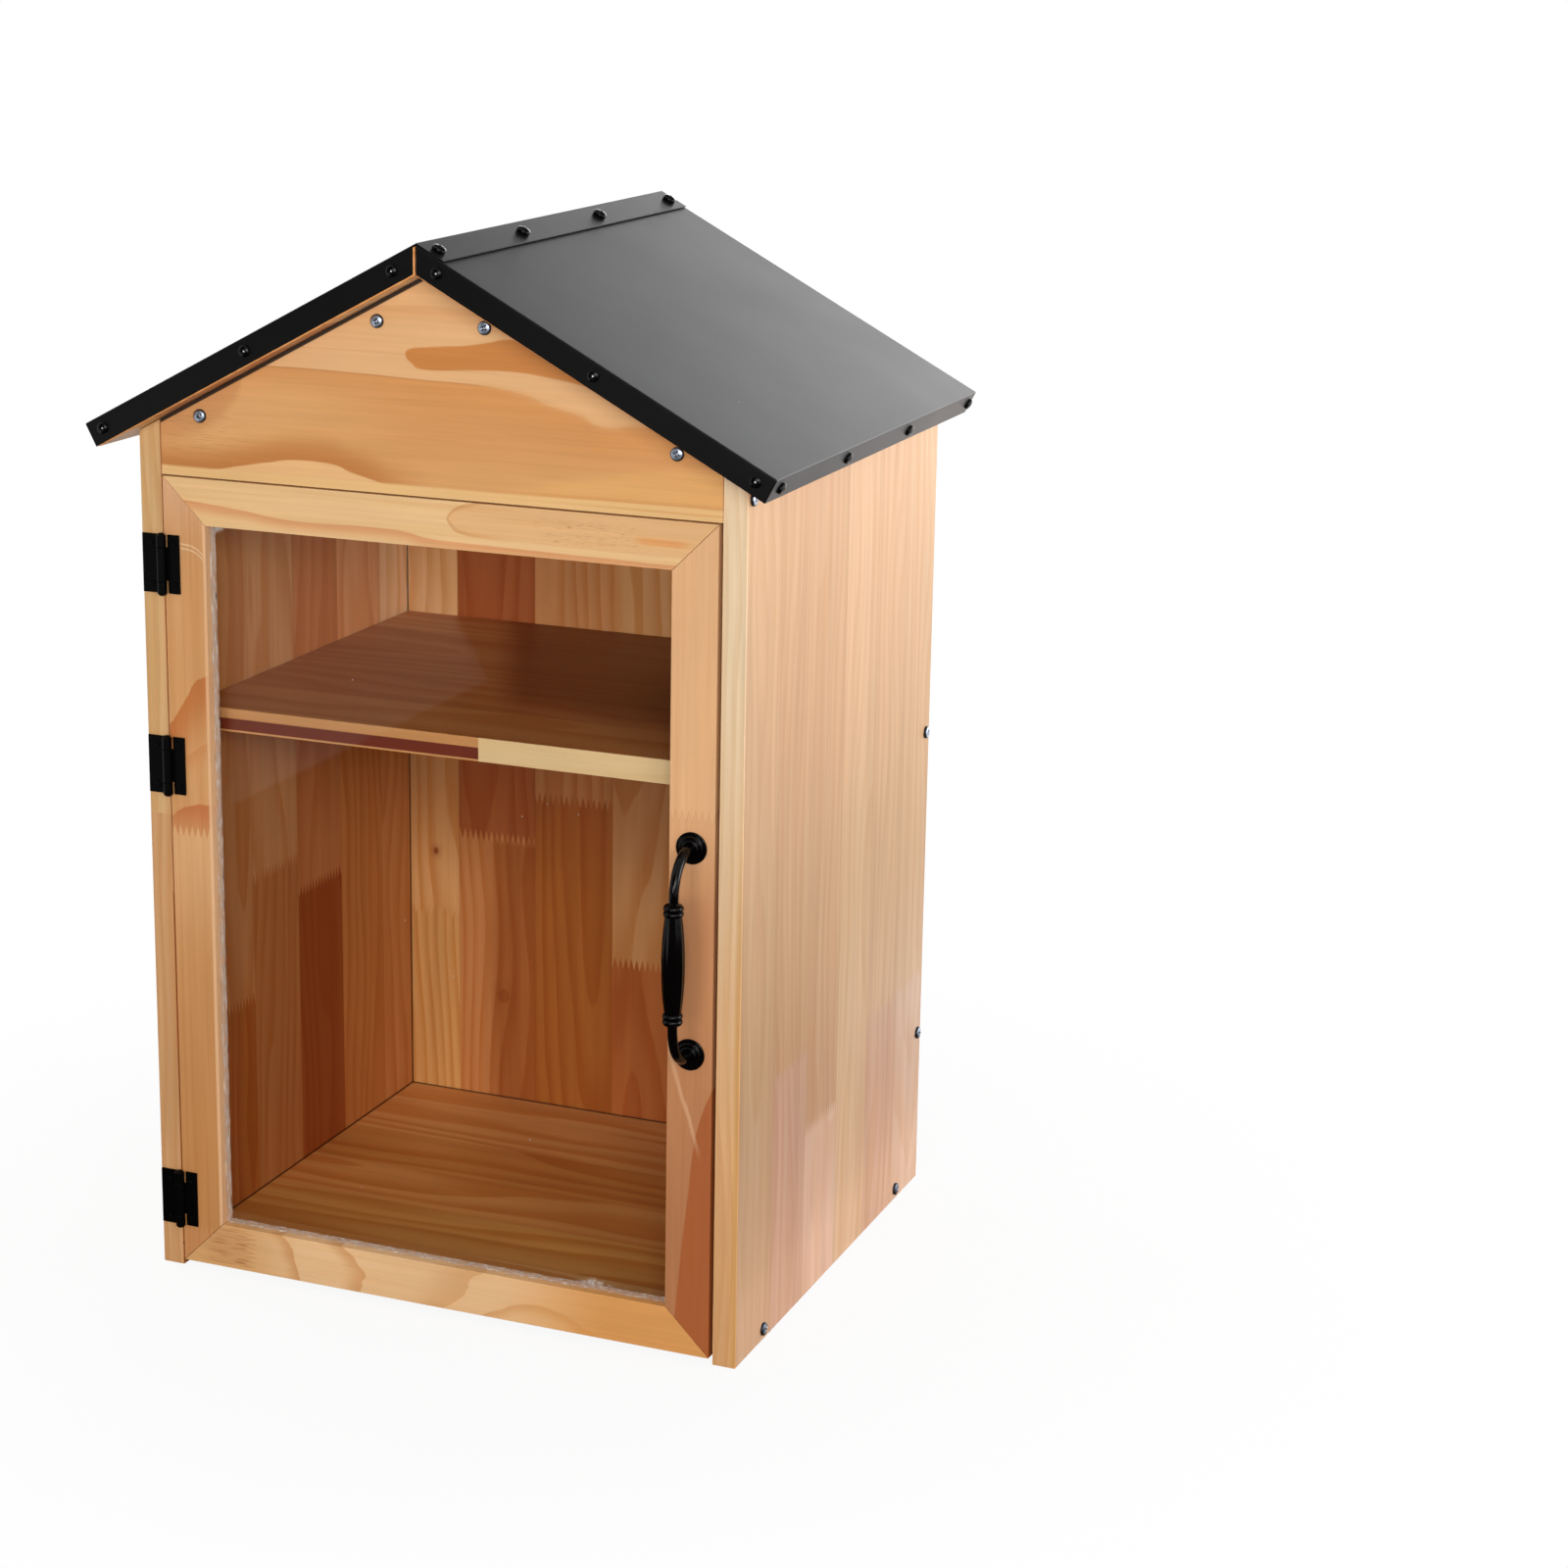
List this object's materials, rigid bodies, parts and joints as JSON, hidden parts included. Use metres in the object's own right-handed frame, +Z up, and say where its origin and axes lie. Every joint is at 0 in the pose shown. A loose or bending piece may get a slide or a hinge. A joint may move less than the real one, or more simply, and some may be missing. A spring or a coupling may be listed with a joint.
{
  "type": "street book exchange box",
  "caption": "Gabled pine street book exchange box with a folded sheet metal roof, a clear-panelled door on surface hinges, a black pull handle and a loose shelf.",
  "frame": {"origin": "middle of the underside of the body, on the floor board", "axes": "+X to the right and +Y to the rear as seen from the front, +Z up; the door faces -Y"},
  "size_m": [0.4506, 0.3748, 0.6715],
  "materials": {
    "pine": "clear satin varnish on finger-jointed, edge-glued pine",
    "roof_sheet": "satin charcoal powder coat on folded sheet",
    "black_steel": "satin black",
    "black_gloss": "gloss black",
    "zinc": "bright zinc plate",
    "acrylic": "clear acrylic sheet",
    "sealant": "translucent whitish sealant",
    "catch_plastic": "moulded brown plastic",
    "magnet": "sintered ferrite"
  },
  "bodies": {
    "carcass": {"left_side_panel": "pine", "right_side_panel": "pine", "back_panel": "pine", "bottom_panel": "pine", "front_gable": "pine", "left_roof_board": "pine", "right_roof_board": "pine", "left_upper_batten": "pine", "left_lower_batten": "pine", "right_upper_batten": "pine", "right_lower_batten": "pine", "left_roof_skin": "roof_sheet", "right_roof_skin": "roof_sheet", "upper_hinge_frame_leaf": "black_steel", "middle_hinge_frame_leaf": "black_steel", "lower_hinge_frame_leaf": "black_steel", "upper_hinge_pin": "black_steel", "middle_hinge_pin": "black_steel", "lower_hinge_pin": "black_steel", "magnet_catch_case": "catch_plastic", "catch_magnet": "magnet", "shelf_pin_1": "zinc", "shelf_pin_2": "zinc", "shelf_pin_3": "zinc", "shelf_pin_4": "zinc", "left_side_screw_1": "zinc", "left_side_screw_2": "zinc", "left_side_screw_3": "zinc", "left_side_screw_4": "zinc", "left_side_screw_5": "zinc", "right_side_screw_1": "zinc", "right_side_screw_2": "zinc", "right_side_screw_3": "zinc", "right_side_screw_4": "zinc", "right_side_screw_5": "zinc", "gable_screw_1": "zinc", "gable_screw_2": "zinc", "gable_screw_3": "zinc", "gable_screw_4": "zinc", "ridge_screw_1": "black_gloss", "ridge_screw_2": "black_gloss", "ridge_screw_3": "black_gloss", "ridge_screw_4": "black_gloss"},
    "door": {"hinge_stile": "pine", "handle_stile": "pine", "top_rail": "pine", "bottom_rail": "pine", "clear_pane": "acrylic", "pane_sealant": "sealant", "upper_hinge_door_leaf": "black_steel", "middle_hinge_door_leaf": "black_steel", "lower_hinge_door_leaf": "black_steel", "handle_bar": "black_gloss", "upper_handle_rosette": "black_gloss", "lower_handle_rosette": "black_gloss", "handle_screw_1": "zinc", "handle_screw_2": "zinc", "catch_strike_plate": "zinc", "strike_screw": "zinc"},
    "shelf": {"shelf_board": "pine"}
  },
  "joints": [
    {"name": "door_hinge", "type": "hinge", "parent": "carcass", "child": "door", "pos_m": [-0.18475, -0.1733, 0.2613], "axis": [0, 0, -1], "range_deg": [0, 180]},
    {"name": "shelf_lift", "type": "slide", "parent": "carcass", "child": "shelf", "axis": [0, 0, 1], "range_m": [0, 0.15]}
  ]
}
